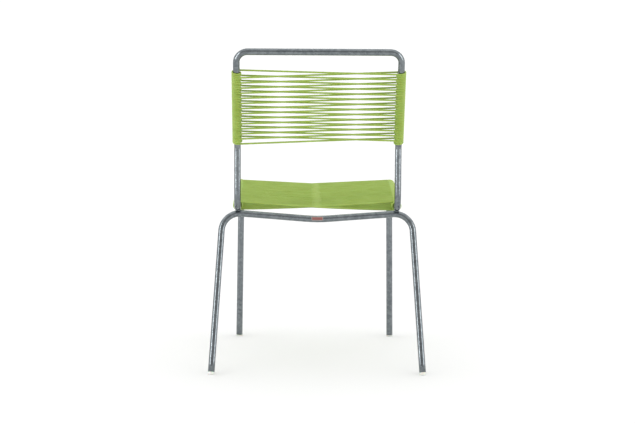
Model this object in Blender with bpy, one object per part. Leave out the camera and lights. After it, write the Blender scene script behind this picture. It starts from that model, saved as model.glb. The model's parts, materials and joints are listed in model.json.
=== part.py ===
"""A stacking chair: a frame bent from round steel tube, with its seat and back wound from round plastic cord.

Metres, +Z up. The floor is z = 0 and the sitter faces -Y, so the sitter's left is +X.
Two tubes make the frame. The main tube runs from one front foot up the front leg, back along the seat rail,
up the upright, across the top, and down the other side in the same way. The rear leg tube is an inverted U
whose crossbar passes under the seat rails. Each cord is wound in a figure of eight between two tubes.
"""

import math

import bmesh
import bpy
from mathutils import Matrix, Vector

# The tube and how it is bent. Radii of bends are to the tube's centreline.
TUBE_RADIUS = 0.009
TUBE_WALL = 0.0015
CORNER_BEND = 0.036
KINK_BEND = 0.060
REAR_CORNER_BEND = 0.050
TUBE_SIDES_SETTING = 4
BEND_STEP = math.radians(15)

# The main tube's corners before they are rounded. Widths are half the distance between the two sides.
UPRIGHT_Y = 0.1867
RAIL_HALF_WIDTH = 0.2149
TOP_HALF_WIDTH = 0.2163
RAIL_HEIGHT_AT_REAR = 0.4332
RAIL_RISE = 0.05
SEAT_LENGTH = 0.472
KINK_HEIGHT = 0.604
TOP_HEIGHT = 0.8595
TOP_SETBACK = 0.1015
FRONT_FOOT_HALF_WIDTH = 0.2205

# The rear leg tube: its crossbar dips towards the middle, and its legs splay out and back.
CROSSBAR_AHEAD = 0.043
CROSSBAR_DIP_SLOPE = 0.077
CROSSBAR_MIDDLE_BEND = 0.42
REAR_CORNER_HALF_WIDTH = 0.2553
REAR_FOOT_HALF_WIDTH = 0.2825
REAR_FOOT_SETBACK = 0.0836
TUBE_GAP = 0.0003

# The cross tube between the front legs, just below their bends.
FRONT_CROSS_HEIGHT = 0.398

# The cord, and how it is wound: two and a half turns round a tube, then a span to the other tube.
CORD_RADIUS = 0.00235
TURNS_PER_STOP = 2.5
RIGHT_LEAD = 2.33
WRAPS_PER_CYCLE = 3
BACK_WRAP_PITCH = 0.00497
BACK_CYCLES = 14
BACK_START = 0.0081
SEAT_WRAP_PITCH = 0.00497
SEAT_CYCLES = 25
SEAT_START = 0.0545
SLEEVE_CLEARANCE = 0.0005
SPAN_STOPS_SHORT = 0.003

# The glides in the four tube ends, the weld beads and the label on the crossbar.
GLIDE_RADIUS = 0.0098
GLIDE_THICKNESS = 0.0034
GLIDE_STEM_RADIUS = 0.0068
GLIDE_STEM_LENGTH = 0.016
BEAD_RADIUS = 0.0013
BEAD_LENGTH = 0.009
LABEL_LENGTH = 0.031
LABEL_HEIGHT = 0.0105
LABEL_THICKNESS = 0.0006
LABEL_TILT = math.radians(14)

LEFT = 1
RIGHT = -1
OUTER_TUBE = TUBE_RADIUS + 2 * CORD_RADIUS
CORD_LINE_RADIUS = TUBE_RADIUS + CORD_RADIUS


def clear_scene():
    """Start from an empty scene."""
    for thing in list(bpy.data.objects):
        bpy.data.objects.remove(thing, do_unlink=True)


def material(name, colour, roughness, metallic=0.0):
    """A plain Principled material."""
    made = bpy.data.materials.new(name)
    made.use_nodes = True
    shader = made.node_tree.nodes["Principled BSDF"]
    shader.inputs["Base Color"].default_value = (*colour, 1.0)
    shader.inputs["Roughness"].default_value = roughness
    shader.inputs["Metallic"].default_value = metallic
    return made


def add_object(name, data, finish):
    """Link a mesh or a curve as one named sub-part with one material."""
    data.materials.append(finish)
    made = bpy.data.objects.new(name, data)
    bpy.context.scene.collection.objects.link(made)
    return made


def mesh_from(name, shape):
    """Turn a finished bmesh into a mesh with smooth round faces and sharp edges."""
    bmesh.ops.recalc_face_normals(shape, faces=shape.faces)
    mesh = bpy.data.meshes.new(name)
    shape.to_mesh(mesh)
    shape.free()
    mesh.shade_smooth()
    mesh.set_sharp_from_angle(angle=math.radians(40))
    return mesh


def rounded_path(corners, bends):
    """Points along straight runs that are joined by an arc of the given radius at each inner corner."""
    points = [corners[0]]
    for before, corner, after, bend in zip(corners, corners[1:], corners[2:], bends):
        incoming = (corner - before).normalized()
        outgoing = (after - corner).normalized()
        turn = incoming.angle(outgoing)
        inward = (outgoing - incoming * incoming.dot(outgoing)).normalized()
        start = corner - incoming * bend * math.tan(turn / 2)
        steps = max(2, math.ceil(turn / BEND_STEP))
        for step in range(steps + 1):
            angle = turn * step / steps
            along = incoming * bend * math.sin(angle)
            points.append(start + along + inward * bend * (1 - math.cos(angle)))
    points.append(corners[-1])
    return points


def tube(name, path, finish):
    """A round tube with an open bore that follows a path."""
    curve = bpy.data.curves.new(name, "CURVE")
    curve.dimensions = "3D"
    curve.bevel_depth = TUBE_RADIUS
    curve.bevel_resolution = TUBE_SIDES_SETTING
    spline = curve.splines.new("POLY")
    spline.points.add(len(path) - 1)
    for point, place in zip(spline.points, path):
        point.co = (*place, 1.0)
    spline.use_smooth = True
    made = add_object(name, curve, finish)
    wall = made.modifiers.new("wall", "SOLIDIFY")
    wall.thickness = TUBE_WALL
    wall.offset = -1.0
    wall.use_even_offset = True
    return made


def rail_point(side, ahead):
    """A point on a seat rail's centreline, at a distance ahead of the uprights."""
    return Vector((side * RAIL_HALF_WIDTH, UPRIGHT_Y - ahead, RAIL_HEIGHT_AT_REAR + RAIL_RISE * ahead))


def front_foot(side):
    return Vector((side * FRONT_FOOT_HALF_WIDTH, UPRIGHT_Y - SEAT_LENGTH, 0.0))


def rear_foot(side):
    return Vector((side * REAR_FOOT_HALF_WIDTH, UPRIGHT_Y + REAR_FOOT_SETBACK, 0.0))


def kink_point(side):
    return Vector((side * RAIL_HALF_WIDTH, UPRIGHT_Y, KINK_HEIGHT))


def top_corner(side):
    return Vector((side * TOP_HALF_WIDTH, UPRIGHT_Y + TOP_SETBACK, TOP_HEIGHT))


def crossbar_height(across):
    """Height of the crossbar's unrounded centreline: it rests under the rails and dips to the middle."""
    under_rail = rail_point(LEFT, CROSSBAR_AHEAD).z - 2 * TUBE_RADIUS - TUBE_GAP
    return under_rail + CROSSBAR_DIP_SLOPE * (abs(across) - RAIL_HALF_WIDTH)


def crossbar_point(across):
    return Vector((across, UPRIGHT_Y - CROSSBAR_AHEAD, crossbar_height(across)))


def leg_end(foot, above):
    """Where a leg's tube ends, and the leg's direction up from its foot."""
    upward = (above - foot).normalized()
    lean = math.acos(upward.z)
    height = GLIDE_THICKNESS + TUBE_RADIUS * math.sin(lean)
    return foot + upward * height / upward.z, upward


def main_tube_path():
    corners = []
    for side in (LEFT, RIGHT):
        front_corner = rail_point(side, SEAT_LENGTH)
        end, _ = leg_end(front_foot(side), front_corner)
        half = [end, front_corner, rail_point(side, 0.0), kink_point(side), top_corner(side)]
        corners += half if side == LEFT else half[::-1]
    bends = [CORNER_BEND, CORNER_BEND, KINK_BEND, CORNER_BEND]
    return rounded_path(corners, bends + bends[::-1])


def rear_tube_path():
    corners = []
    for side in (LEFT, RIGHT):
        corner = crossbar_point(side * REAR_CORNER_HALF_WIDTH)
        end, _ = leg_end(rear_foot(side), corner)
        corners += [end, corner] if side == LEFT else [crossbar_point(0.0), corner, end]
    return rounded_path(corners, [REAR_CORNER_BEND, CROSSBAR_MIDDLE_BEND, REAR_CORNER_BEND])


def front_leg_point(side, height):
    """A point on a front leg's centreline."""
    top = rail_point(side, SEAT_LENGTH)
    return front_foot(side).lerp(top, height / top.z)


def front_cross_path():
    """The front cross tube stops just short of the two front legs that it is welded between."""
    ends = []
    for side in (LEFT, RIGHT):
        end = front_leg_point(side, FRONT_CROSS_HEIGHT)
        end.x -= side * (TUBE_RADIUS + TUBE_GAP)
        ends.append(end)
    return [ends[0], ends[0].lerp(ends[1], 0.5), ends[1]]


def turned(profile, sides):
    """A closed body of revolution about Z from (radius, height) pairs that start and end on the axis."""
    shape = bmesh.new()
    points = [shape.verts.new((radius, 0.0, height)) for radius, height in profile]
    edges = [shape.edges.new(pair) for pair in zip(points, points[1:])]
    bmesh.ops.spin(
        shape, geom=points + edges, cent=(0, 0, 0), axis=(0, 0, 1), angle=2 * math.pi, steps=sides
    )
    bmesh.ops.remove_doubles(shape, verts=shape.verts, dist=0.00001)
    return shape


def glide(name, foot, above, finish):
    """A plastic plug in a tube end. Its underside is cut flat on the floor, whatever the leg's angle."""
    end, upward = leg_end(foot, above)
    neck = TUBE_GAP
    profile = [
        (0.0, GLIDE_STEM_LENGTH),
        (GLIDE_STEM_RADIUS - 0.001, GLIDE_STEM_LENGTH),
        (GLIDE_STEM_RADIUS, GLIDE_STEM_LENGTH - 0.003),
        (GLIDE_STEM_RADIUS, -neck),
        (GLIDE_RADIUS - 0.0004, -neck),
        (GLIDE_RADIUS, -neck - 0.0006),
        (GLIDE_RADIUS, -0.02),
        (0.0, -0.02),
    ]
    shape = turned(profile, 20)
    turn = Vector((0, 0, 1)).rotation_difference(upward).to_matrix().to_4x4()
    bmesh.ops.transform(shape, matrix=Matrix.Translation(end) @ turn, verts=shape.verts)
    cut = bmesh.ops.bisect_plane(
        shape,
        geom=shape.verts[:] + shape.edges[:] + shape.faces[:],
        plane_co=(0, 0, 0),
        plane_no=(0, 0, -1),
        clear_outer=True,
    )
    rim = [piece for piece in cut["geom_cut"] if isinstance(piece, bmesh.types.BMEdge)]
    bmesh.ops.edgeloop_fill(shape, edges=rim)
    return add_object(name, mesh_from(name, shape), finish)


def rod(shape, start, end, radius, sides):
    """Add a plain closed rod between two points."""
    along = end - start
    turn = Vector((0, 0, 1)).rotation_difference(along).to_matrix().to_4x4()
    bmesh.ops.create_cone(
        shape,
        cap_ends=True,
        segments=sides,
        radius1=radius,
        radius2=radius,
        depth=along.length,
        matrix=Matrix.Translation((start + end) / 2) @ turn,
    )


def rear_weld(name, side, facing, finish):
    """A short bead in the notch between a seat rail and the crossbar under it. facing is +1 behind, -1 ahead."""
    reach = TUBE_RADIUS + BEAD_RADIUS + 0.0004
    drop = BEAD_RADIUS + 0.0004
    up = TUBE_RADIUS + TUBE_GAP - drop
    middle = crossbar_point(side * RAIL_HALF_WIDTH)
    middle += Vector((0.0, facing * math.sqrt(reach**2 - up**2), up))
    along = Vector((1.0, 0.0, side * CROSSBAR_DIP_SLOPE)) * BEAD_LENGTH / 2
    shape = bmesh.new()
    rod(shape, middle - along, middle + along, BEAD_RADIUS, 8)
    return add_object(name, mesh_from(name, shape), finish)


def front_weld(name, side, finish):
    """A ring of weld round the end of the front cross tube, against the leg."""
    end = front_leg_point(side, FRONT_CROSS_HEIGHT)
    end.x -= side * (TUBE_RADIUS + TUBE_GAP + BEAD_RADIUS)
    ring_radius = TUBE_RADIUS + TUBE_GAP + BEAD_RADIUS
    shape = bmesh.new()
    for step in range(6):
        angle = 2 * math.pi * step / 6
        shape.verts.new((ring_radius + BEAD_RADIUS * math.cos(angle), 0.0, BEAD_RADIUS * math.sin(angle)))
    section = shape.verts[:]
    edges = [shape.edges.new(pair) for pair in zip(section, section[1:] + section[:1])]
    bmesh.ops.spin(
        shape, geom=section + edges, cent=(0, 0, 0), axis=(0, 0, 1), angle=2 * math.pi, steps=20
    )
    bmesh.ops.remove_doubles(shape, verts=shape.verts, dist=0.00001)
    stand = Matrix.Translation(end) @ Matrix.Rotation(math.pi / 2, 4, "Y")
    bmesh.ops.transform(shape, matrix=stand, verts=shape.verts)
    return add_object(name, mesh_from(name, shape), finish)


def label(name, finish):
    """A thin blank label that follows the back of the crossbar at its middle."""
    along_steps = 6
    around_steps = 4
    middle_height = crossbar_height(0.0)
    tangent_reach = CROSSBAR_MIDDLE_BEND * CROSSBAR_DIP_SLOPE
    radius = TUBE_RADIUS + TUBE_GAP
    shape = bmesh.new()
    rows = []
    for along in range(along_steps + 1):
        across = LABEL_LENGTH * (along / along_steps - 0.5)
        rise = (tangent_reach**2 + across**2) / (2 * CROSSBAR_MIDDLE_BEND)
        row = []
        for around in range(around_steps + 1):
            angle = LABEL_TILT + (around / around_steps - 0.5) * LABEL_HEIGHT / radius
            place = (across, radius * math.cos(angle), radius * math.sin(angle) + rise)
            row.append(shape.verts.new(Vector((0.0, UPRIGHT_Y - CROSSBAR_AHEAD, middle_height)) + Vector(place)))
        rows.append(row)
    for first, second in zip(rows, rows[1:]):
        for low, high, far_high, far_low in zip(first, first[1:], second[1:], second):
            shape.faces.new((low, high, far_high, far_low))
    mesh = mesh_from(name, shape)
    made = add_object(name, mesh, finish)
    sheet = made.modifiers.new("thickness", "SOLIDIFY")
    sheet.thickness = LABEL_THICKNESS
    sheet.offset = 1.0
    return made


def figure_of_eight(cycles, pitch):
    """The spans of one cord, as (left distance, left face, right distance, right face) along the two tubes.

    A face of +1 is the one the sitter meets and -1 the one behind it. Every cycle has one span that leaves the
    right tube and one that leaves the left one. The stops on the right tube lie RIGHT_LEAD turns further on.
    """
    spans = []
    for cycle in range(cycles):
        base = cycle * WRAPS_PER_CYCLE * pitch
        ahead = base + RIGHT_LEAD * pitch
        spans.append((base, -1, ahead - 0.5 * pitch, 1))
        spans.append((base + TURNS_PER_STOP * pitch, 1, ahead, -1))
    return spans


def wound_cord(name, lines, face_out, cycles, pitch, finish):
    """One wound cord: a sleeve of wraps on each of two tubes, joined by all the spans.

    lines gives for each side the start of the wraps and the direction along the tube.
    """
    sleeve_length = (WRAPS_PER_CYCLE * (cycles - 1) + TURNS_PER_STOP + 1.5) * pitch
    bore = TUBE_RADIUS + SLEEVE_CLEARANCE
    made = None
    for side in (LEFT, RIGHT):
        start, along = lines[side]
        profile = [
            (bore, 0.0),
            (OUTER_TUBE, 0.0),
            (OUTER_TUBE, sleeve_length),
            (bore, sleeve_length),
            (bore, 0.0),
        ]
        shape = turned(profile, 16)
        turn = Vector((0, 0, 1)).rotation_difference(along).to_matrix().to_4x4()
        bmesh.ops.transform(shape, matrix=Matrix.Translation(start) @ turn, verts=shape.verts)
        if made is None:
            made = add_object(name, mesh_from(name, shape), finish)
        else:
            other = add_object(name + "_other_sleeve", mesh_from(name, shape), finish)
            other.hide_render = True
            other.display_type = "WIRE"
    spans = bmesh.new()
    for left_distance, left_face, right_distance, right_face in figure_of_eight(cycles, pitch):
        ends = []
        for side, distance, face in ((LEFT, left_distance, left_face), (RIGHT, right_distance, right_face)):
            start, along = lines[side]
            ends.append(start + along * (distance + 0.5 * pitch) + face_out * face * CORD_LINE_RADIUS)
        stop = (ends[1] - ends[0]).normalized() * SPAN_STOPS_SHORT
        rod(spans, ends[0] + stop, ends[1] - stop, CORD_RADIUS, 6)
    strands = add_object(name + "_spans", mesh_from(name, spans), finish)
    strands.hide_render = True
    strands.display_type = "WIRE"
    for joined in (strands, other):
        union = made.modifiers.new("join", "BOOLEAN")
        union.operation = "UNION"
        union.solver = "EXACT"
        union.object = joined
    return made


def back_lines():
    """Where the back's wraps start on each upright, and the direction up that upright."""
    lines = {}
    for side in (LEFT, RIGHT):
        along = (top_corner(side) - kink_point(side)).normalized()
        lines[side] = (kink_point(side) + along * BACK_START, along)
    return lines


def seat_lines():
    """Where the seat's wraps start on each rail, and the direction forward along it."""
    lines = {}
    for side in (LEFT, RIGHT):
        along = (rail_point(side, SEAT_LENGTH) - rail_point(side, 0.0)).normalized()
        lines[side] = (rail_point(side, SEAT_START), along)
    return lines


def face_direction(along):
    """The direction square to a tube that points at the sitter."""
    across = Vector((1.0, 0.0, 0.0))
    return across.cross(Vector((0.0, along.y, along.z))).normalized()


def build():
    steel = material("galvanised_steel", (0.36, 0.38, 0.38), 0.45, 1.0)
    weld = material("weld_metal", (0.30, 0.31, 0.32), 0.55, 1.0)
    cord = material("cord_plastic", (0.33, 0.50, 0.10), 0.40)
    plastic = material("glide_plastic", (0.72, 0.72, 0.68), 0.50)
    blank = material("label_foil", (0.80, 0.80, 0.80), 0.35)

    tube("frame_tube", main_tube_path(), steel)
    tube("rear_leg_tube", rear_tube_path(), steel)
    tube("front_cross_tube", front_cross_path(), steel)

    for side, word in ((LEFT, "left"), (RIGHT, "right")):
        glide(f"glide_front_{word}", front_foot(side), rail_point(side, SEAT_LENGTH), plastic)
        corner = crossbar_point(side * REAR_CORNER_HALF_WIDTH)
        glide(f"glide_rear_{word}", rear_foot(side), corner, plastic)
        rear_weld(f"weld_rear_{word}_ahead", side, -1, weld)
        rear_weld(f"weld_rear_{word}_behind", side, 1, weld)
        front_weld(f"weld_front_{word}", side, weld)
    label("label_plate", blank)

    back = back_lines()
    wound_cord("back_cord", back, face_direction(back[LEFT][1]), BACK_CYCLES, BACK_WRAP_PITCH, cord)
    seat = seat_lines()
    wound_cord("seat_cord", seat, face_direction(seat[LEFT][1]), SEAT_CYCLES, SEAT_WRAP_PITCH, cord)


clear_scene()
build()
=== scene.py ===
"""A stacking chair of bent galvanised tube, with a seat and a back wound from lime-green plastic cord."""

import json
import math
import random

import bmesh
import bpy
import numpy as np
from mathutils import Matrix, Vector


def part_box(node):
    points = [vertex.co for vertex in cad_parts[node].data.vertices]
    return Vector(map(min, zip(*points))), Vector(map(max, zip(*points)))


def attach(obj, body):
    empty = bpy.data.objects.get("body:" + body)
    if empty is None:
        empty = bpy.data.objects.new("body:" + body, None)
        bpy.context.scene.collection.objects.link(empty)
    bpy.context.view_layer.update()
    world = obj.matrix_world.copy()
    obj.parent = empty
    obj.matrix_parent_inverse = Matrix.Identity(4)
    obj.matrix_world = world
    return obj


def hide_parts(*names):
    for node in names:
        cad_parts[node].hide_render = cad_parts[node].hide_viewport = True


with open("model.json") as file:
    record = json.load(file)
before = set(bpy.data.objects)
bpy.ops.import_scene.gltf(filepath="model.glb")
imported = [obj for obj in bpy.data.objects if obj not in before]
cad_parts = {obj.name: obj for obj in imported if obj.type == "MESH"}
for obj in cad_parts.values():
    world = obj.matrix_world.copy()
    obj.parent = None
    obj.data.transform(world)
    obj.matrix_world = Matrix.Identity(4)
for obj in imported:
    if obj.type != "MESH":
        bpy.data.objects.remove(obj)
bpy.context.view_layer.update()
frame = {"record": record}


# ----------------------------------------------------------------------------------------------------------
# Camera
# A long lens on a tripod, a little over five metres behind the chair and a quarter of a metre above its top
# rail. It looks seven degrees down, and it is turned and tilted by less than a degree.
# ----------------------------------------------------------------------------------------------------------

UPRIGHT_Y = 0.1867
CAMERA_PLACE = Vector((0.0788, UPRIGHT_Y + 5.3868, 1.1088))
CAMERA_TURN = 0.0146
CAMERA_DOWN = 0.1260
CAMERA_ROLL = 0.0063
LENS_MM = 114.75

forward = Vector((
    -math.sin(CAMERA_TURN) * math.cos(CAMERA_DOWN),
    -math.cos(CAMERA_TURN) * math.cos(CAMERA_DOWN),
    -math.sin(CAMERA_DOWN),
))
level = forward.cross(Vector((0, 0, 1))).normalized()
camera_right = Matrix.Rotation(-CAMERA_ROLL, 3, forward) @ level
camera_up = camera_right.cross(forward)
camera_data = bpy.data.cameras.new("camera")
camera_data.lens = LENS_MM
camera_data.clip_end = 300
camera = bpy.data.objects.new("camera", camera_data)
bpy.context.scene.collection.objects.link(camera)
camera.matrix_world = Matrix.Translation(CAMERA_PLACE) @ Matrix(
    (camera_right, camera_up, -forward)
).transposed().to_4x4()
bpy.context.scene.camera = camera


# ----------------------------------------------------------------------------------------------------------
# Main tube
# One length of 18 mm steel tube with a 1.5 mm wall. It is bent cold on a bender, eight bends in all, from one
# front foot over the back to the other. It is dipped in zinc after welding.
# ----------------------------------------------------------------------------------------------------------

LEFT = 1
RIGHT = -1
TUBE_RADIUS = 0.009
TUBE_WALL = 0.0015
TUBE_SIDES = 40
END_CHAMFER = 0.0003
CORNER_BEND = 0.036
KINK_BEND = 0.060
BEND_STEP = math.radians(4)
TOP_BEND = 0.030
BEND_SQUEEZE = 0.03
RAIL_HEIGHT_AT_REAR = 0.4332
RAIL_RISE = 0.05
KINK_HEIGHT = 0.604
TOP_HALF_WIDTH = 0.2163
CORD_RADIUS = 0.00235

mounts = {mount["name"]: Vector(mount["pos_m"]) for mount in frame["record"]["mounts"]}
FRONT_FOOT = {LEFT: mounts["foot_front_left"], RIGHT: mounts["foot_front_right"]}
REAR_FOOT = {LEFT: mounts["foot_rear_left"], RIGHT: mounts["foot_rear_right"]}
tube_low, tube_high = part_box("frame_tube")
TOP_HEIGHT = tube_high.z - TUBE_RADIUS
TOP_Y = tube_high.y - TUBE_RADIUS
RAIL_HALF_WIDTH = round(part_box("seat_cord")[1].x - TUBE_RADIUS - 2 * CORD_RADIUS, 4)


def rounded_path(corners, bends):
    """Points of a bent tube's centreline, with how each is squeezed: the way in towards the bend's centre."""
    points = [corners[0]]
    squeezes = [Vector()]
    for before, corner, after, bend in zip(corners, corners[1:], corners[2:], bends):
        incoming = (corner - before).normalized()
        outgoing = (after - corner).normalized()
        turn = incoming.angle(outgoing)
        inward = (outgoing - incoming * incoming.dot(outgoing)).normalized()
        start = corner - incoming * bend * math.tan(turn / 2)
        steps = max(4, math.ceil(turn / BEND_STEP))
        for step in range(steps + 1):
            angle = turn * step / steps
            along = incoming * bend * math.sin(angle)
            points.append(start + along + inward * bend * (1 - math.cos(angle)))
            towards_centre = inward * math.cos(angle) - incoming * math.sin(angle)
            sharpness = min(1.0, CORNER_BEND / bend) * math.sin(math.pi * step / steps) ** 0.5
            squeezes.append(towards_centre * BEND_SQUEEZE * sharpness)
    points.append(corners[-1])
    squeezes.append(Vector())
    return points, squeezes


def skin(name, rings, girth, run, loop=False, capped=False):
    """A mesh over a row of rings. Its UV map is in metres, round each ring and along the run."""
    rings = np.asarray(rings, float)
    count, sides = rings.shape[:2]
    rows = count if loop else count - 1
    row, column = np.meshgrid(np.arange(rows), np.arange(sides), indexing="ij")
    next_row = (row + 1) % count
    next_column = (column + 1) % sides
    corners = [row * sides + column, row * sides + next_column, next_row * sides + next_column]
    corners.append(next_row * sides + column)
    faces = np.stack(corners, axis=-1).reshape(-1, 4).tolist()
    if capped:
        faces.append(list(range(sides))[::-1])
        faces.append(list(range((count - 1) * sides, count * sides)))
    mesh = bpy.data.meshes.new(name)
    mesh.from_pydata(rings.reshape(-1, 3).tolist(), [], faces)
    across = np.stack([column, column + 1, column + 1, column], axis=-1) / sides * girth
    lengths = np.append(run, run[0])
    along = np.stack([lengths[row], lengths[row], lengths[row + 1], lengths[row + 1]], axis=-1)
    places = np.stack([across, along], axis=-1).reshape(-1, 2)
    run_map = mesh.uv_layers.new(name="run")
    values = np.zeros((len(mesh.loops), 2))
    values[: len(places)] = places
    run_map.data.foreach_set("uv", values.astype(np.float32).ravel())
    mesh.shade_smooth()
    mesh.set_sharp_from_angle(angle=math.radians(50))
    return mesh


def piece_of(name, mesh, finish, slot, *nodes):
    """Put a finished mesh in the scene as a piece of the frame that stands for its CAD nodes."""
    made = bpy.data.objects.new(name, mesh)
    bpy.context.scene.collection.objects.link(made)
    made.data.materials.append(finish)
    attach(made, "root")
    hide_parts(*nodes)
    return made


def carried_frames(points):
    """Directions along a line of points, and one square to it that is carried along without twist."""
    points = np.asarray(points, float)
    ways = np.gradient(points, axis=0)
    ways /= np.linalg.norm(ways, axis=1, keepdims=True)
    square = np.cross(ways[0], (0.0, 1.0, 0.3))
    squares = []
    for way in ways:
        square = square - way * square.dot(way)
        square = square / np.linalg.norm(square)
        squares.append(square)
    return points, ways, np.array(squares)


def tube_mesh(name, points, squeezes, cope=None):
    """A tube with its wall, its bore and a small chamfer at both ends. cope(point) may shape the two ends."""
    points, ways, squares = carried_frames(points)
    steps = np.linalg.norm(np.diff(points, axis=0), axis=1)
    run = np.concatenate([[0.0], np.cumsum(steps)])
    others = np.cross(ways, squares)
    angles = np.arange(TUBE_SIDES) / TUBE_SIDES * 2 * math.pi
    turns = squares[:, None] * np.cos(angles)[:, None] + others[:, None] * np.sin(angles)[:, None]
    squeezes = np.array(squeezes)
    amounts = np.linalg.norm(squeezes, axis=1)
    pulls = squeezes / np.maximum(amounts, 1e-9)[:, None]
    flattening = np.einsum("rsk,rk->rs", turns, pulls)[..., None] * pulls[:, None] * amounts[:, None, None]
    turns = turns - flattening
    outer = points[:, None] + turns * TUBE_RADIUS
    inner = points[:, None] + turns * (TUBE_RADIUS - TUBE_WALL)
    if cope:
        for end in (0, -1):
            outer[end] = [cope(place, end) for place in outer[end]]
            inner[end] = [cope(place, end) for place in inner[end]]
        rings = np.concatenate([outer, inner[::-1]])
        lengths = np.concatenate([run, run[::-1]])
    else:
        lips = []
        for end, sign in ((0, -1), (-1, 1)):
            lips.append(outer[end] - turns[end] * END_CHAMFER)
            outer[end] = outer[end] - ways[end] * END_CHAMFER * sign
        rings = np.concatenate([lips[:1], outer, lips[1:], inner[::-1]])
        lengths = np.concatenate([run[:1], run, run[-1:], run[::-1]])
    return skin(name, rings, 2 * math.pi * TUBE_RADIUS, lengths, loop=True)


def with_rests(points, squeezes, longest=0.03):
    """Add points on the long straight runs, so that no face is many times longer than it is wide."""
    fine_points = []
    fine_squeezes = []
    for here, there, squeeze in zip(points, points[1:], squeezes):
        parts = max(1, math.ceil((there - here).length / longest))
        for part in range(parts):
            fine_points.append(here.lerp(there, part / parts))
            fine_squeezes.append(squeeze if part == 0 else Vector())
    return fine_points + [points[-1]], fine_squeezes + [squeezes[-1]]


def rail_point(side, ahead):
    """A point on a seat rail's centreline, at a distance ahead of the uprights."""
    return Vector((side * RAIL_HALF_WIDTH, UPRIGHT_Y - ahead, RAIL_HEIGHT_AT_REAR + RAIL_RISE * ahead))


def leg_end(foot, above, rim_height):
    """Where a leg's tube is cut off, and the leg's direction up from its foot."""
    upward = (above - foot).normalized()
    height = rim_height + TUBE_RADIUS * math.sin(math.acos(upward.z))
    return foot + upward * height / upward.z, upward


def add_node(tree, kind, inputs, **settings):
    """Add a node, with its settings, its socket values and its links from other nodes' outputs."""
    made = tree.nodes.new(kind)
    for name, value in settings.items():
        setattr(made, name, value)
    for name, value in inputs.items():
        if isinstance(value, bpy.types.NodeSocket):
            tree.links.new(value, made.inputs[name])
        else:
            made.inputs[name].default_value = value
    return made


def linear(hex_colour):
    """Turn an sRGB hex colour into the linear values that a shader takes."""
    channels = [int(hex_colour[start : start + 2], 16) / 255 for start in (1, 3, 5)]
    curve = [c / 12.92 if c <= 0.04045 else ((c + 0.055) / 1.055) ** 2.4 for c in channels]
    return (*curve, 1.0)


def new_material(name):
    """An empty Principled material, and the handles that its nodes are built from."""
    made = bpy.data.materials.new(name)
    made.use_nodes = True
    return made, made.node_tree, made.node_tree.nodes["Principled BSDF"]


def galvanised_steel(name, dark, light):
    """Hot-dip zinc: satin grey crystals of a few millimetres, each a little lighter or darker.

    Zinc runs down the tube as it leaves the bath, which gives long pale streaks.
    """
    crystal_mm = 7.0
    stain_mm = 28.0
    streak_width_mm = 2.6
    streak_length_mm = 70.0
    grain_mm = 0.9
    made, tree, shader = new_material(name)
    place = add_node(tree, "ShaderNodeTexCoord", {})
    crystals = add_node(
        tree,
        "ShaderNodeTexVoronoi",
        {"Vector": place.outputs["Object"], "Scale": 1000 / crystal_mm},
        feature="F1",
    )
    crystal_tone = add_node(tree, "ShaderNodeSeparateColor", {"Color": crystals.outputs["Color"]})
    stains = add_node(
        tree,
        "ShaderNodeTexNoise",
        {"Vector": place.outputs["Object"], "Scale": 1000 / stain_mm, "Detail": 4.0, "Roughness": 0.6},
    )
    run_map = add_node(tree, "ShaderNodeUVMap", {}, uv_map="run")
    stretched = add_node(
        tree,
        "ShaderNodeMapping",
        {"Vector": run_map.outputs["UV"], "Scale": (1000 / streak_width_mm, 1000 / streak_length_mm, 1.0)},
    )
    streaks = add_node(
        tree,
        "ShaderNodeTexNoise",
        {"Vector": stretched.outputs["Vector"], "Scale": 1.0, "Detail": 3.0, "Roughness": 0.55},
    )
    stained = add_node(
        tree,
        "ShaderNodeMix",
        {0: 0.45, 2: crystal_tone.outputs["Red"], 3: stains.outputs["Fac"]},
        data_type="FLOAT",
    )
    tone = add_node(
        tree, "ShaderNodeMix", {0: 0.40, 2: stained.outputs[0], 3: streaks.outputs["Fac"]}, data_type="FLOAT"
    )
    colour = add_node(tree, "ShaderNodeValToRGB", {"Fac": tone.outputs[0]})
    colour.color_ramp.elements[0].position = 0.30
    colour.color_ramp.elements[0].color = linear(dark)
    colour.color_ramp.elements[1].position = 0.70
    colour.color_ramp.elements[1].color = linear(light)
    roughness = add_node(
        tree,
        "ShaderNodeMapRange",
        {"Value": tone.outputs[0], "From Min": 0.25, "From Max": 0.75, "To Min": 0.19, "To Max": 0.13},
    )
    grain = add_node(
        tree,
        "ShaderNodeTexNoise",
        {"Vector": place.outputs["Object"], "Scale": 1000 / grain_mm, "Detail": 2.0},
    )
    height = add_node(
        tree,
        "ShaderNodeMix",
        {0: 0.5, 2: crystals.outputs["Distance"], 3: grain.outputs["Fac"]},
        data_type="FLOAT",
    )
    bump = add_node(
        tree, "ShaderNodeBump", {"Strength": 0.10, "Distance": 0.0003, "Height": height.outputs[0]}
    )
    shader.inputs["Metallic"].default_value = 1.0
    tree.links.new(colour.outputs["Color"], shader.inputs["Base Color"])
    tree.links.new(roughness.outputs["Result"], shader.inputs["Roughness"])
    tree.links.new(bump.outputs["Normal"], shader.inputs["Normal"])
    return made


zinc = galvanised_steel("galvanised_steel", "#6B7175", "#858B8E")

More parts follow.
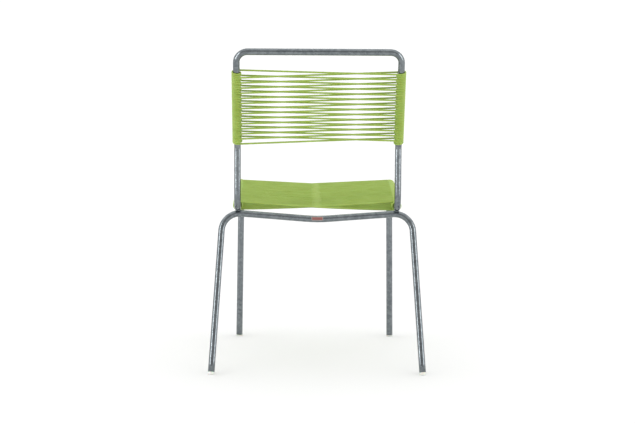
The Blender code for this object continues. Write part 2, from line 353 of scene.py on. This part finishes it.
corners = []
for side in (LEFT, RIGHT):
    front_corner = rail_point(side, UPRIGHT_Y - FRONT_FOOT[side].y)
    end, _ = leg_end(FRONT_FOOT[side], front_corner, tube_low.z)
    kink = Vector((side * RAIL_HALF_WIDTH, UPRIGHT_Y, KINK_HEIGHT))
    top = Vector((side * TOP_HALF_WIDTH, TOP_Y, TOP_HEIGHT))
    half = [end, front_corner, rail_point(side, 0.0), kink, top]
    corners += half if side == LEFT else half[::-1]
bends = [CORNER_BEND, CORNER_BEND, KINK_BEND, TOP_BEND]
main_path = with_rests(*rounded_path(corners, bends + bends[::-1]))
piece_of("main_tube", tube_mesh("main_tube", *main_path), zinc, "galvanised_steel", "frame_tube")


# ----------------------------------------------------------------------------------------------------------
# Rear leg tube
# A second length of the same tube, bent to an inverted U. Its crossbar lies under the seat rails and dips
# to its middle, out of the way of the sitter. Its legs splay out and rake back, so that chairs stack.
# ----------------------------------------------------------------------------------------------------------

REAR_CORNER_BEND = 0.050
CROSSBAR_DIP_SLOPE = 0.077
CROSSBAR_MIDDLE_BEND = 0.42
REAR_CORNER_HALF_WIDTH = 0.2553
TUBE_GAP = 0.0003

rear_low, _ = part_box("rear_leg_tube")
CROSSBAR_Y = rear_low.y + TUBE_RADIUS
CROSSBAR_HEIGHT_AT_RAIL = rail_point(LEFT, UPRIGHT_Y - CROSSBAR_Y).z - 2 * TUBE_RADIUS - TUBE_GAP


def crossbar_point(across):
    """A point on the crossbar's centreline, before its middle is rounded."""
    height = CROSSBAR_HEIGHT_AT_RAIL + CROSSBAR_DIP_SLOPE * (abs(across) - RAIL_HALF_WIDTH)
    return Vector((across, CROSSBAR_Y, height))


rear_corner = {side: crossbar_point(side * REAR_CORNER_HALF_WIDTH) for side in (LEFT, RIGHT)}
rear_end = {side: leg_end(REAR_FOOT[side], rear_corner[side], rear_low.z) for side in (LEFT, RIGHT)}
corners = [rear_end[LEFT][0], rear_corner[LEFT], crossbar_point(0.0), rear_corner[RIGHT], rear_end[RIGHT][0]]
bends = [REAR_CORNER_BEND, CROSSBAR_MIDDLE_BEND, REAR_CORNER_BEND]
rear_path = with_rests(*rounded_path(corners, bends))
piece_of(
    "rear_legs_and_crossbar", tube_mesh("rear_legs", *rear_path), zinc, "galvanised_steel", "rear_leg_tube"
)


# ----------------------------------------------------------------------------------------------------------
# Front cross tube
# A straight length of the same tube that keeps the front legs apart, just under the seat. Its ends are cut to
# a hollow that fits round the legs, and welded there.
# ----------------------------------------------------------------------------------------------------------

cross_low, cross_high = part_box("front_cross_tube")
CROSS_HEIGHT = (cross_low.z + cross_high.z) / 2
CROSS_Y = (cross_low.y + cross_high.y) / 2
leg_half_width = cross_high.x + TUBE_RADIUS + TUBE_GAP
CROSS_FIT = 0.0002


def fitted_to_leg(place, end):
    """Move a point of the cross tube's end along the tube, onto the round of the leg that it meets."""
    side = LEFT if end == 0 else RIGHT
    reach = TUBE_RADIUS + CROSS_FIT
    depth = math.sqrt(max(0.0, reach**2 - (place[1] - CROSS_Y) ** 2))
    return np.array((side * (leg_half_width - max(depth, 0.0035)), place[1], place[2]))


cross_ends = [Vector((side * leg_half_width * 0.94, CROSS_Y, CROSS_HEIGHT)) for side in (LEFT, RIGHT)]
cross_path = [Vector((side * leg_half_width, CROSS_Y, CROSS_HEIGHT)) for side in (LEFT, RIGHT)]
cross_points = [cross_path[0], cross_ends[0], cross_ends[1], cross_path[1]]
cross_line = with_rests(cross_points, [Vector()] * 4)
cross_mesh = tube_mesh("front_cross_tube", *cross_line, cope=fitted_to_leg)
piece_of("front_cross_bar", cross_mesh, zinc, "galvanised_steel", "front_cross_tube")


# ----------------------------------------------------------------------------------------------------------
# Welds
# Each bead is a row of small overlapping ripples that the welder leaves. Under the rails there are two half
# rings in the notch between the crossing tubes, and each end of the front cross tube has a full ring. Zinc is
# a shade darker over a weld than on the tube.
# ----------------------------------------------------------------------------------------------------------

BEAD_RADIUS = 0.0019
BEAD_SIDES = 14
RIPPLE_LENGTH = 0.0011
RIPPLE_DEPTH = 0.10
BEAD_SINK = 0.0006


def bead_mesh(name, centres, closed):
    """A rippled bead along a line. An open bead thins out at its ends."""
    centres = np.asarray(centres, float)
    if closed:
        around = np.concatenate([centres[-2:-1], centres, centres[1:2]])
        ways = around[2:] - around[:-2]
    else:
        ways = np.gradient(centres, axis=0)
    ways /= np.linalg.norm(ways, axis=1, keepdims=True)
    steps = np.linalg.norm(np.diff(centres, axis=0), axis=1)
    run = np.concatenate([[0.0], np.cumsum(steps)])
    ripple = 1 - RIPPLE_DEPTH * ((run / RIPPLE_LENGTH) % 1.0) ** 2
    if not closed:
        ripple *= np.clip(np.minimum(run, run[-1] - run) / BEAD_RADIUS, 0.0, 1.0) ** 0.5 * 0.75 + 0.25
    square = np.cross(ways, (0.31, 0.17, 0.94))
    square /= np.linalg.norm(square, axis=1, keepdims=True)
    other = np.cross(ways, square)
    angles = np.arange(BEAD_SIDES) / BEAD_SIDES * 2 * math.pi
    turns = square[:, None] * np.cos(angles)[:, None] + other[:, None] * np.sin(angles)[:, None]
    rings = centres[:, None] + turns * (BEAD_RADIUS * ripple)[:, None, None]
    if closed:
        return skin(name, rings[:-1], 2 * math.pi * BEAD_RADIUS, run[:-1], loop=True)
    return skin(name, rings, 2 * math.pi * BEAD_RADIUS, run, capped=True)


def crossing_notch(side, facing, samples=60):
    """A bead's middle line on one side of a crossing, as far from the rail's axis as the crossbar's."""
    reach = TUBE_RADIUS + BEAD_RADIUS - BEAD_SINK
    joint = crossbar_point(side * RAIL_HALF_WIDTH)
    gap = 2 * TUBE_RADIUS + TUBE_GAP
    half_length = math.sqrt(reach**2 - (gap - reach) ** 2)
    line = []
    for sample in range(samples + 1):
        across = -half_length * math.cos(math.pi * sample / samples) * 0.98
        up = gap - math.sqrt(reach**2 - across**2)
        out = math.sqrt(max(0.0, reach**2 - up**2))
        line.append(joint + Vector((across, facing * out, up + side * CROSSBAR_DIP_SLOPE * across)))
    return line


def leg_ring(side, samples=120):
    """The middle line of the bead round the end of the front cross tube, in the notch against the leg."""
    reach = TUBE_RADIUS + BEAD_RADIUS - BEAD_SINK
    line = []
    for sample in range(samples + 1):
        angle = 2 * math.pi * sample / samples
        out = max(reach * abs(math.sin(angle)), 0.0045)
        across = side * (leg_half_width - out)
        behind = CROSS_Y + reach * math.cos(angle)
        line.append(Vector((across, behind, CROSS_HEIGHT + reach * math.sin(angle))))
    return line


weld_zinc = galvanised_steel("galvanised_weld", "#60666A", "#797F82")
for side, word in ((LEFT, "left"), (RIGHT, "right")):
    for facing, end_word in ((-1, "ahead"), (1, "behind")):
        name = f"rear_weld_{word}_{end_word}"
        mesh = bead_mesh(name, crossing_notch(side, facing), closed=False)
        piece_of(name, mesh, weld_zinc, "weld_metal", f"weld_rear_{word}_{end_word}")
    name = f"front_weld_{word}"
    mesh = bead_mesh(name, leg_ring(side), closed=True)
    piece_of(name, mesh, weld_zinc, "weld_metal", f"weld_front_{word}")


# ----------------------------------------------------------------------------------------------------------
# Glides
# Four plugs of milky nylon, injection moulded and knocked into the tube ends. Each has a ribbed stem, a head
# a little wider than the tube and a sole that is level with the floor, also on the raked rear legs.
# ----------------------------------------------------------------------------------------------------------

GLIDE_RADIUS = 0.0097
GLIDE_ROUNDING = 0.0011
GLIDE_STEM_RADIUS = 0.0069
GLIDE_STEM_LENGTH = 0.016
GLIDE_RIBS = 4
GLIDE_SEGMENTS = 48


def milky_nylon():
    """Natural nylon from the mould: off-white, lets a little light in, scuffed dull near the floor."""
    scuff_mm = 1.5
    scuffed_height_mm = 3.0
    made, tree, shader = new_material("milky_moulded_nylon")
    place = add_node(tree, "ShaderNodeTexCoord", {})
    scuffs = add_node(
        tree,
        "ShaderNodeTexNoise",
        {"Vector": place.outputs["Object"], "Scale": 1000 / scuff_mm, "Detail": 5.0, "Roughness": 0.7},
    )
    axes = add_node(tree, "ShaderNodeSeparateXYZ", {"Vector": place.outputs["Object"]})
    low = add_node(
        tree,
        "ShaderNodeMapRange",
        {"Value": axes.outputs["Z"], "From Max": scuffed_height_mm / 1000, "To Min": 1.0, "To Max": 0.0},
    )
    worn = add_node(
        tree, "ShaderNodeMath", {0: low.outputs["Result"], 1: scuffs.outputs["Fac"]}, operation="MULTIPLY"
    )
    colour = add_node(
        tree,
        "ShaderNodeMix",
        {0: worn.outputs["Value"], 6: linear("#E2E3DD"), 7: linear("#A9AAA2")},
        data_type="RGBA",
    )
    roughness = add_node(
        tree, "ShaderNodeMapRange", {"Value": worn.outputs["Value"], "To Min": 0.38, "To Max": 0.70}
    )
    shader.inputs["IOR"].default_value = 1.53
    shader.inputs["Subsurface Weight"].default_value = 0.25
    shader.inputs["Subsurface Scale"].default_value = 0.002
    tree.links.new(colour.outputs[2], shader.inputs["Base Color"])
    tree.links.new(roughness.outputs["Result"], shader.inputs["Roughness"])
    return made


def glide_mesh(name, end, upward):
    """Turn the plug's outline about the leg's axis, and cut its sole level with the floor."""
    outline = [(0.0, GLIDE_STEM_LENGTH), (GLIDE_STEM_RADIUS - 0.0012, GLIDE_STEM_LENGTH)]
    rib_pitch = (GLIDE_STEM_LENGTH - 0.004) / GLIDE_RIBS
    for rib in range(GLIDE_RIBS):
        top = GLIDE_STEM_LENGTH - 0.001 - rib * rib_pitch
        outline += [
            (GLIDE_STEM_RADIUS - 0.0008, top),
            (GLIDE_STEM_RADIUS, top - rib_pitch * 0.7),
            (GLIDE_STEM_RADIUS - 0.0008, top - rib_pitch * 0.72),
        ]
    outline += [(GLIDE_STEM_RADIUS - 0.0008, -TUBE_GAP), (TUBE_RADIUS - 0.0002, -TUBE_GAP)]
    shoulder = Vector((GLIDE_RADIUS - GLIDE_ROUNDING, -TUBE_GAP - GLIDE_ROUNDING))
    for step in range(7):
        angle = math.pi / 2 * (1 - step / 6)
        across = GLIDE_ROUNDING * math.cos(angle)
        outline.append((shoulder.x + across, shoulder.y + GLIDE_ROUNDING * math.sin(angle)))
    outline += [(GLIDE_RADIUS, -0.02), (0.0, -0.02)]
    shape = bmesh.new()
    points = [shape.verts.new((radius, 0.0, height)) for radius, height in outline]
    edges = [shape.edges.new(pair) for pair in zip(points, points[1:])]
    bmesh.ops.spin(
        shape, geom=points + edges, cent=(0, 0, 0), axis=(0, 0, 1), angle=2 * math.pi, steps=GLIDE_SEGMENTS
    )
    bmesh.ops.remove_doubles(shape, verts=shape.verts, dist=0.00001)
    turn = Vector((0, 0, 1)).rotation_difference(upward).to_matrix().to_4x4()
    bmesh.ops.transform(shape, matrix=Matrix.Translation(end) @ turn, verts=shape.verts)
    everything = shape.verts[:] + shape.edges[:] + shape.faces[:]
    cut = bmesh.ops.bisect_plane(
        shape, geom=everything, plane_co=(0, 0, 0), plane_no=(0, 0, -1), clear_outer=True
    )
    rim = [piece for piece in cut["geom_cut"] if isinstance(piece, bmesh.types.BMEdge)]
    sole = bmesh.ops.edgeloop_fill(shape, edges=rim)["faces"]
    inset = bmesh.ops.inset_region(shape, faces=sole, thickness=0.0005, use_even_offset=True)
    lowered = {vert for face in inset["faces"] for vert in face.verts}
    for vert in lowered:
        if vert.co.z < 0.00001 and not any(face in sole for face in vert.link_faces):
            vert.co += Vector((0, 0, 0.0004))
    bmesh.ops.recalc_face_normals(shape, faces=shape.faces)
    mesh = bpy.data.meshes.new(name)
    shape.to_mesh(mesh)
    shape.free()
    mesh.shade_smooth()
    mesh.set_sharp_from_angle(angle=math.radians(35))
    return mesh


nylon = milky_nylon()
for side, word in ((LEFT, "left"), (RIGHT, "right")):
    front_corner = rail_point(side, UPRIGHT_Y - FRONT_FOOT[side].y)
    front_end, front_up = leg_end(FRONT_FOOT[side], front_corner, tube_low.z)
    mesh = glide_mesh(f"front_glide_{word}", front_end, front_up)
    piece_of(f"front_glide_{word}", mesh, nylon, "glide_plastic", f"glide_front_{word}")
    mesh = glide_mesh(f"rear_glide_{word}", *rear_end[side])
    piece_of(f"rear_glide_{word}", mesh, nylon, "glide_plastic", f"glide_rear_{word}")


# ----------------------------------------------------------------------------------------------------------
# Label
# A thin self-adhesive label of coated foil on the back of the crossbar. It follows the round of the tube and
# has rounded corners. It is blank: one dull red panel in a grey border.
# ----------------------------------------------------------------------------------------------------------

label_low, label_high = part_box("label_plate")
LABEL_LENGTH = label_high.x - label_low.x
LABEL_HEIGHT = 0.0105
LABEL_CORNER = 0.0018
LABEL_THICKNESS = 0.0005
LABEL_TILT = math.radians(14)
LABEL_COLUMNS = 40
LABEL_ROWS = 14


def printed_foil():
    """Coated aluminium foil with one plain printed panel. The coat gives it a soft gloss."""
    panel_length = 0.90
    panel_height = 0.76
    edge = 0.03
    made, tree, shader = new_material("coated_foil_label")
    run_map = add_node(tree, "ShaderNodeUVMap", {}, uv_map="run")
    axes = add_node(tree, "ShaderNodeSeparateXYZ", {"Vector": run_map.outputs["UV"]})
    sides = []
    for axis, size in (("X", panel_length), ("Y", panel_height)):
        offset = add_node(tree, "ShaderNodeMath", {0: axes.outputs[axis], 1: 0.5}, operation="SUBTRACT")
        distance = add_node(tree, "ShaderNodeMath", {0: offset.outputs["Value"]}, operation="ABSOLUTE")
        inside = add_node(
            tree,
            "ShaderNodeMapRange",
            {
                "Value": distance.outputs["Value"],
                "From Min": size / 2,
                "From Max": size / 2 + edge,
                "To Min": 1.0,
                "To Max": 0.0,
            },
        )
        sides.append(inside.outputs["Result"])
    printed = add_node(tree, "ShaderNodeMath", {0: sides[0], 1: sides[1]}, operation="MULTIPLY")
    colour = add_node(
        tree,
        "ShaderNodeMix",
        {0: printed.outputs["Value"], 6: linear("#A5A29E"), 7: linear("#8A5650")},
        data_type="RGBA",
    )
    shader.inputs["Roughness"].default_value = 0.35
    shader.inputs["Coat Weight"].default_value = 0.3
    shader.inputs["Coat Roughness"].default_value = 0.15
    tree.links.new(colour.outputs[2], shader.inputs["Base Color"])
    return made


def label_mesh(name):
    """A sheet over the tube, built in columns that shorten towards the rounded corners."""
    radius = TUBE_RADIUS + LABEL_THICKNESS
    flat_reach = CROSSBAR_MIDDLE_BEND * CROSSBAR_DIP_SLOPE
    middle = crossbar_point(0.0)
    columns = []
    for column in range(LABEL_COLUMNS + 1):
        across = -math.cos(math.pi * column / LABEL_COLUMNS) * LABEL_LENGTH / 2
        into_corner = max(0.0, abs(across) - (LABEL_LENGTH / 2 - LABEL_CORNER))
        drop = LABEL_CORNER - math.sqrt(max(0.0, LABEL_CORNER**2 - into_corner**2))
        half_height = LABEL_HEIGHT / 2 - drop
        rise = (flat_reach**2 + across**2) / (2 * CROSSBAR_MIDDLE_BEND)
        columns.append((across, half_height, rise))
    shape = bmesh.new()
    uv = shape.loops.layers.uv.new("run")
    rows = []
    for across, half_height, rise in columns:
        line = []
        for row in range(LABEL_ROWS + 1):
            up = (2 * row / LABEL_ROWS - 1) * half_height
            angle = LABEL_TILT + up / radius
            out = Vector((across, radius * math.cos(angle), radius * math.sin(angle) + rise))
            vert = shape.verts.new(middle + out)
            line.append((vert, (0.5 + across / LABEL_LENGTH, 0.5 + up / LABEL_HEIGHT)))
        rows.append(line)
    for first, second in zip(rows, rows[1:]):
        for row in range(LABEL_ROWS):
            around = (first[row], second[row], second[row + 1], first[row + 1])
            face = shape.faces.new([vert for vert, _ in around])
            for loop, (_, place) in zip(face.loops, around):
                loop[uv].uv = place
    bmesh.ops.remove_doubles(shape, verts=shape.verts, dist=0.000005)
    mesh = bpy.data.meshes.new(name)
    shape.to_mesh(mesh)
    shape.free()
    mesh.shade_smooth()
    return mesh


label = piece_of("crossbar_label", label_mesh("crossbar_label"), printed_foil(), "label_foil", "label_plate")
thickness = label.modifiers.new("foil", "SOLIDIFY")
thickness.thickness = LABEL_THICKNESS
thickness.offset = 0.0


# ----------------------------------------------------------------------------------------------------------
# Back cord
# One length of round PVC cord, wound taut in a figure of eight between the uprights: from the front of one to
# the back of the other, two and a half turns round it, and across again. Its turns lie against each other and
# flatten a little.
# ----------------------------------------------------------------------------------------------------------

TURNS_PER_STOP = 2.5
WRAPS_PER_CYCLE = 3
RIGHT_LEAD = 2.33
FIRST_TURNS = 1.9
LAST_TURNS = 0.6
BACK_WRAP_PITCH = 0.00497
BACK_CYCLES = 14
BACK_START = 0.0081
TURN_STEPS = 24
CORD_SIDES = 12
SPAN_RADIUS = 0.00235
WRAP_DEPTH = 0.00225
SPAN_SHARES = (0.012, 0.03, 0.06, 0.1, 0.2, 0.35, 0.5, 0.65, 0.8, 0.9, 0.94, 0.97, 0.988)
SPAN_WANDER = 0.0004
hand = random.Random(5)


def tube_line(start, along, side):
    """A straight tube that is wound on: where its turns start, and the ways along it and out to its side."""
    along = along.normalized()
    sideways = Vector((side, 0.0, 0.0))
    outward = (sideways - along * sideways.dot(along)).normalized()
    return start, along, outward


def wound_route(lines, face_way, cycles, pitch, slack=0.0):
    """The cord's centreline, the way its flattened side faces, and how flattened it is at each point.

    slack is how far the first spans hang below a straight line. It fades to nothing at the last.
    """
    reach = TUBE_RADIUS + WRAP_DEPTH
    gap = (lines[LEFT][0] - lines[RIGHT][0]).length
    tangent_angle = math.asin(2 * reach / gap)
    places = []
    faces = []
    flatness = []

    def point(side, distance, angle):
        start, along, outward = lines[side]
        radial = face_way * math.cos(angle) + outward * math.sin(angle)
        return start + along * distance + radial * reach, radial

    def turns(side, distance, first_angle, count, facing):
        steps = round(count * TURN_STEPS)
        for step in range(steps + 1):
            share = step / steps * count
            place, radial = point(side, distance + pitch * share, first_angle - 2 * math.pi * share)
            places.append(place)
            faces.append(radial * facing)
            flatness.append(1.0)

    def span(side, distance, angle, facing):
        wound_share = distance / (cycles * WRAPS_PER_CYCLE * pitch)
        hang = slack * max(0.0, 1 - wound_share) ** 1.5
        there, radial = point(side, distance, angle)
        here = places[-1]
        first_face = faces[-1]
        last_face = radial * facing
        along = lines[side][1]
        bow = along * hand.uniform(-1, 1) + face_way * hand.uniform(-0.5, 0.5)
        for share in SPAN_SHARES:
            place = here.lerp(there, share) + bow * SPAN_WANDER * math.sin(math.pi * share)
            place.z -= hang * math.sin(math.pi * share) ** 0.7
            places.append(place)
            faces.append(first_face.lerp(last_face, share))
            flatness.append(0.0)

    arrive = math.pi + tangent_angle
    stop_turns = TURNS_PER_STOP + tangent_angle / math.pi
    facing = 1
    first_distance = (RIGHT_LEAD - 0.5 - FIRST_TURNS) * pitch
    turns(RIGHT, first_distance, 2 * math.pi * FIRST_TURNS - tangent_angle, FIRST_TURNS, facing)
    for cycle in range(cycles):
        base = cycle * WRAPS_PER_CYCLE * pitch
        facing = -facing
        span(LEFT, base, arrive, facing)
        turns(LEFT, base, arrive, stop_turns, facing)
        facing = -facing
        ahead = base + RIGHT_LEAD * pitch
        span(RIGHT, ahead, arrive, facing)
        turns(RIGHT, ahead, arrive, LAST_TURNS if cycle == cycles - 1 else stop_turns, facing)
    return places, faces, flatness


def cord_mesh(name, places, faces, flatness, pitch):
    """Sweep the cord's section along its route: round on the spans, pressed flatter on the turns."""
    places = np.array(places)
    faces = np.array(faces)
    flatness = np.convolve(np.pad(flatness, 1, mode="edge"), np.ones(3) / 3, mode="valid")
    ways = np.gradient(places, axis=0)
    ways /= np.linalg.norm(ways, axis=1, keepdims=True)
    squares = faces - ways * np.sum(faces * ways, axis=1, keepdims=True)
    squares /= np.linalg.norm(squares, axis=1, keepdims=True)
    others = np.cross(ways, squares)
    run = np.concatenate([[0.0], np.cumsum(np.linalg.norm(np.diff(places, axis=0), axis=1))])
    depth = SPAN_RADIUS + (WRAP_DEPTH - SPAN_RADIUS) * flatness
    width = SPAN_RADIUS + (pitch * 0.497 - SPAN_RADIUS) * flatness
    angles = np.arange(CORD_SIDES) / CORD_SIDES * 2 * math.pi
    sections = (
        squares[:, None] * np.cos(angles)[:, None] * depth[:, None, None]
        + others[:, None] * np.sin(angles)[:, None] * width[:, None, None]
    )
    rings = places[:, None] + sections
    first_lip = places[0] - ways[0] * 0.0003 + sections[0] * 0.8
    last_lip = places[-1] + ways[-1] * 0.0003 + sections[-1] * 0.8
    rings = np.concatenate([[first_lip], rings, [last_lip]])
    run = np.concatenate([run[:1], run, run[-1:]])
    return skin(name, rings, 2 * math.pi * SPAN_RADIUS, run, capped=True), run[-1]


def extruded_pvc():
    """Soft PVC, coloured through: a satin skin from the die, with faint cloudiness in the colour.

    Dust and handling leave some stretches duller than others.
    """
    cloud_mm = 45.0
    skin_mm = 1.1
    made, tree, shader = new_material("extruded_lime_pvc")
    run_map = add_node(tree, "ShaderNodeUVMap", {}, uv_map="run")
    stretched = add_node(
        tree, "ShaderNodeMapping", {"Vector": run_map.outputs["UV"], "Scale": (60.0, 1000 / cloud_mm, 1.0)}
    )
    clouds = add_node(
        tree,
        "ShaderNodeTexNoise",
        {"Vector": stretched.outputs["Vector"], "Scale": 1.0, "Detail": 3.0, "Roughness": 0.6},
    )
    colour = add_node(tree, "ShaderNodeValToRGB", {"Fac": clouds.outputs["Fac"]})
    colour.color_ramp.elements[0].position = 0.30
    colour.color_ramp.elements[0].color = linear("#8DA63C")
    colour.color_ramp.elements[1].position = 0.72
    colour.color_ramp.elements[1].color = linear("#9EB755")
    place = add_node(tree, "ShaderNodeTexCoord", {})
    pores = add_node(
        tree,
        "ShaderNodeTexNoise",
        {"Vector": place.outputs["Object"], "Scale": 1000 / skin_mm, "Detail": 3.0, "Roughness": 0.6},
    )
    roughness = add_node(
        tree,
        "ShaderNodeMapRange",
        {"Value": clouds.outputs["Fac"], "From Min": 0.3, "From Max": 0.7, "To Min": 0.36, "To Max": 0.50},
    )
    bump = add_node(
        tree, "ShaderNodeBump", {"Strength": 0.10, "Distance": 0.0002, "Height": pores.outputs["Fac"]}
    )
    shader.inputs["IOR"].default_value = 1.53
    shader.inputs["Subsurface Weight"].default_value = 0.12
    shader.inputs["Subsurface Scale"].default_value = 0.0015
    tree.links.new(colour.outputs["Color"], shader.inputs["Base Color"])
    tree.links.new(roughness.outputs["Result"], shader.inputs["Roughness"])
    tree.links.new(bump.outputs["Normal"], shader.inputs["Normal"])
    return made


pvc = extruded_pvc()
back_lines = {}
for side in (LEFT, RIGHT):
    kink = Vector((side * RAIL_HALF_WIDTH, UPRIGHT_Y, KINK_HEIGHT))
    way_up = Vector((side * TOP_HALF_WIDTH, TOP_Y, TOP_HEIGHT)) - kink
    start = kink + way_up.normalized() * (BACK_START + BACK_WRAP_PITCH / 2)
    back_lines[side] = tube_line(start, way_up, side)
way_up = Vector((0.0, TOP_Y - UPRIGHT_Y, TOP_HEIGHT - KINK_HEIGHT)).normalized()
sitter_way = Vector((1.0, 0.0, 0.0)).cross(way_up)
back_route = wound_route(back_lines, sitter_way, BACK_CYCLES, BACK_WRAP_PITCH)
mesh, back_length = cord_mesh("wound_back_cord", *back_route, BACK_WRAP_PITCH)
piece_of("wound_back_cord", mesh, pvc, "cord_plastic", "back_cord")


# ----------------------------------------------------------------------------------------------------------
# Seat cord
# A second length of the same cord, wound in the same way between the seat rails, from the rear forwards. Its
# spans run from the top of one rail to the underside of the other. The rear ones have gone a little slack.
# ----------------------------------------------------------------------------------------------------------

SEAT_WRAP_PITCH = 0.00497
SEAT_CYCLES = 25
SEAT_START = 0.0545
REAR_SLACK = 0.0045

seat_lines = {}
way_forward = (rail_point(LEFT, 1.0) - rail_point(LEFT, 0.0)).normalized()
for side in (LEFT, RIGHT):
    start = rail_point(side, SEAT_START) + way_forward * SEAT_WRAP_PITCH / 2
    seat_lines[side] = tube_line(start, way_forward, side)
way_below = Vector((1.0, 0.0, 0.0)).cross(way_forward)
seat_route = wound_route(seat_lines, way_below, SEAT_CYCLES, SEAT_WRAP_PITCH, REAR_SLACK)
mesh, seat_length = cord_mesh("wound_seat_cord", *seat_route, SEAT_WRAP_PITCH)
piece_of("wound_seat_cord", mesh, pvc, "cord_plastic", "seat_cord")
print("cord lengths", round(back_length, 2), round(seat_length, 2))


# ----------------------------------------------------------------------------------------------------------
# Floor and light
# A white studio floor in a white room that is darker behind the camera. A narrow, strong softbox stands to
# the camera's left, and a wider, weaker one to its right. They give the tubes a bright line on one side and a
# softer one on the other.
# ----------------------------------------------------------------------------------------------------------

FLOOR_RADIUS = 90.0

shape = bmesh.new()
bmesh.ops.create_circle(shape, cap_ends=True, segments=64, radius=FLOOR_RADIUS)
floor_mesh = bpy.data.meshes.new("floor")
shape.to_mesh(floor_mesh)
shape.free()
floor = bpy.data.objects.new("floor", floor_mesh)
bpy.context.scene.collection.objects.link(floor)
painted, tree, shader = new_material("matt_white_floor_paint")
shader.inputs["Base Color"].default_value = linear("#F6F6F6")
shader.inputs["Roughness"].default_value = 0.9
shader.inputs["Specular IOR Level"].default_value = 0.1
floor.data.materials.append(painted)

studio = bpy.data.worlds.new("soft_studio")
bpy.context.scene.world = studio
studio.use_nodes = True
tree = studio.node_tree
tree.nodes.clear()
look = add_node(tree, "ShaderNodeTexCoord", {})
axes = add_node(tree, "ShaderNodeSeparateXYZ", {"Vector": look.outputs["Generated"]})
overhead = add_node(
    tree,
    "ShaderNodeMapRange",
    {"Value": axes.outputs["Z"], "From Min": 0.0, "From Max": 1.0, "To Min": 1.09, "To Max": 1.36},
)
towards_camera = add_node(
    tree,
    "ShaderNodeMapRange",
    {"Value": axes.outputs["Y"], "From Min": 0.25, "From Max": 0.85, "To Min": 1.0, "To Max": 0.5},
    interpolation_type="SMOOTHSTEP",
)
light = add_node(
    tree,
    "ShaderNodeMath",
    {0: overhead.outputs["Result"], 1: towards_camera.outputs["Result"]},
    operation="MULTIPLY",
).outputs["Value"]
lit = add_node(tree, "ShaderNodeBackground", {"Color": linear("#FFFFFF"), "Strength": light})
seen = add_node(tree, "ShaderNodeBackground", {"Color": linear("#FCFCFC"), "Strength": 1.0})
ray = add_node(tree, "ShaderNodeLightPath", {})
mixed = add_node(
    tree, "ShaderNodeMixShader", {0: ray.outputs["Is Camera Ray"], 1: lit.outputs[0], 2: seen.outputs[0]}
)
add_node(tree, "ShaderNodeOutputWorld", {"Surface": mixed.outputs[0]})
not_on_floor = bpy.data.collections.new("not_on_floor")
not_on_floor.objects.link(floor)
not_on_floor.collection_objects[0].light_linking.link_state = "EXCLUDE"


def softbox(name, place, width, height, radiance):
    """A tall lit panel that stands near the floor, facing the chair. It does not light the floor."""
    made = bpy.data.lights.new(name, "AREA")
    made.shape = "RECTANGLE"
    made.size = width
    made.size_y = height
    made.energy = radiance * math.pi * width * height
    stand = bpy.data.objects.new(name, made)
    bpy.context.scene.collection.objects.link(stand)
    facing = Vector((0.0, 0.0, place.z)) - place
    stand.matrix_world = Matrix.Translation(place) @ facing.to_track_quat("-Z", "Y").to_matrix().to_4x4()
    stand.visible_camera = False
    stand.light_linking.receiver_collection = not_on_floor


softbox("strip_light", Vector((2.2, 1.45, 1.15)), width=0.4, height=2.1, radiance=8.0)
softbox("fill_light", Vector((-2.4, 1.35, 1.15)), width=0.9, height=2.1, radiance=3.4)
bpy.context.scene.view_settings.view_transform = "Standard"
bpy.context.scene.view_settings.look = "None"
